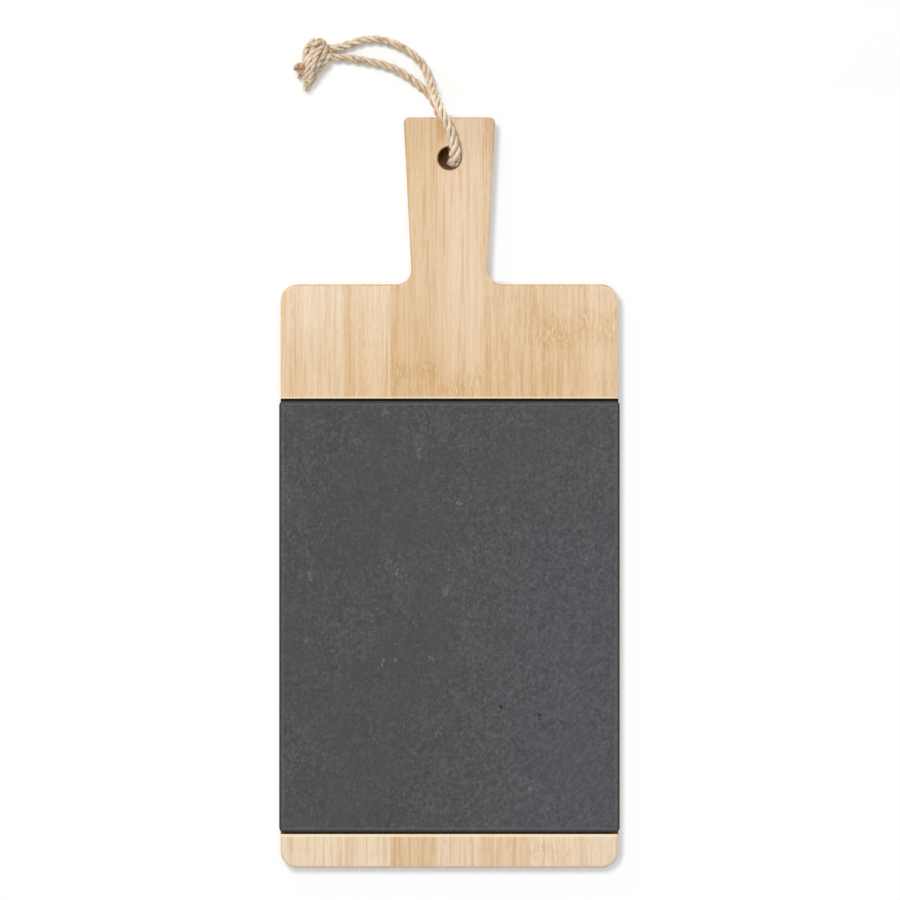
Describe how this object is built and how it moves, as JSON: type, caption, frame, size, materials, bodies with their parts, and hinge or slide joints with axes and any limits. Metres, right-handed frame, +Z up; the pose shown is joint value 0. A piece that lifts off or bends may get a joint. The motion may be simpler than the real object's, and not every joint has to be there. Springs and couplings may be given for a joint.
{
  "type": "slate serving board",
  "caption": "Paddle-shaped bamboo serving board with a slate tile bonded into a dado across its face, rubber feet, and a knotted cord through the hole in its handle.",
  "frame": {"origin": "the point of the table under the middle of the board, where the feet's plane meets the board's two middle planes", "axes": "+Y along the board towards the handle's end, +Z up out of the slate, +X to the right seen from above with the handle away"},
  "size_m": [0.1816, 0.4438, 0.025],
  "materials": {
    "bamboo_face": "oiled, fine sanded",
    "bamboo_core": "oiled, fine sanded",
    "bamboo_back": "oiled, fine sanded",
    "slate": "natural cleft, oiled",
    "silicone": "satin",
    "foot_rubber": "matt",
    "cord_jute": "twisted natural fibre"
  },
  "bodies": {
    "root": {"face_lamella_1": "bamboo_face", "face_lamella_2": "bamboo_face", "face_lamella_3": "bamboo_face", "face_lamella_4": "bamboo_face", "face_lamella_5": "bamboo_face", "face_lamella_6": "bamboo_face", "face_lamella_7": "bamboo_face", "face_lamella_8": "bamboo_face", "strip_lamella_1": "bamboo_face", "strip_lamella_2": "bamboo_face", "strip_lamella_3": "bamboo_face", "strip_lamella_4": "bamboo_face", "strip_lamella_5": "bamboo_face", "strip_lamella_6": "bamboo_face", "strip_lamella_7": "bamboo_face", "strip_lamella_8": "bamboo_face", "core_lamella_1": "bamboo_core", "core_lamella_2": "bamboo_core", "core_lamella_3": "bamboo_core", "core_lamella_4": "bamboo_core", "core_lamella_5": "bamboo_core", "core_lamella_6": "bamboo_core", "core_lamella_7": "bamboo_core", "core_lamella_8": "bamboo_core", "core_lamella_9": "bamboo_core", "core_lamella_10": "bamboo_core", "core_lamella_11": "bamboo_core", "core_lamella_12": "bamboo_core", "core_lamella_13": "bamboo_core", "core_lamella_14": "bamboo_core", "core_lamella_15": "bamboo_core", "core_lamella_16": "bamboo_core", "core_lamella_17": "bamboo_core", "back_lamella_1": "bamboo_back", "back_lamella_2": "bamboo_back", "back_lamella_3": "bamboo_back", "back_lamella_4": "bamboo_back", "back_lamella_5": "bamboo_back", "back_lamella_6": "bamboo_back", "back_lamella_7": "bamboo_back", "back_lamella_8": "bamboo_back", "slate_tile": "slate", "silicone_beads": "silicone", "foot_handle_left": "foot_rubber", "foot_handle_right": "foot_rubber", "foot_strip_left": "foot_rubber", "foot_strip_right": "foot_rubber", "cord_front_leg": "cord_jute", "cord_back_leg": "cord_jute", "cord_knot": "cord_jute", "cord_side_tail": "cord_jute", "cord_down_tail": "cord_jute"}
  },
  "joints": []
}
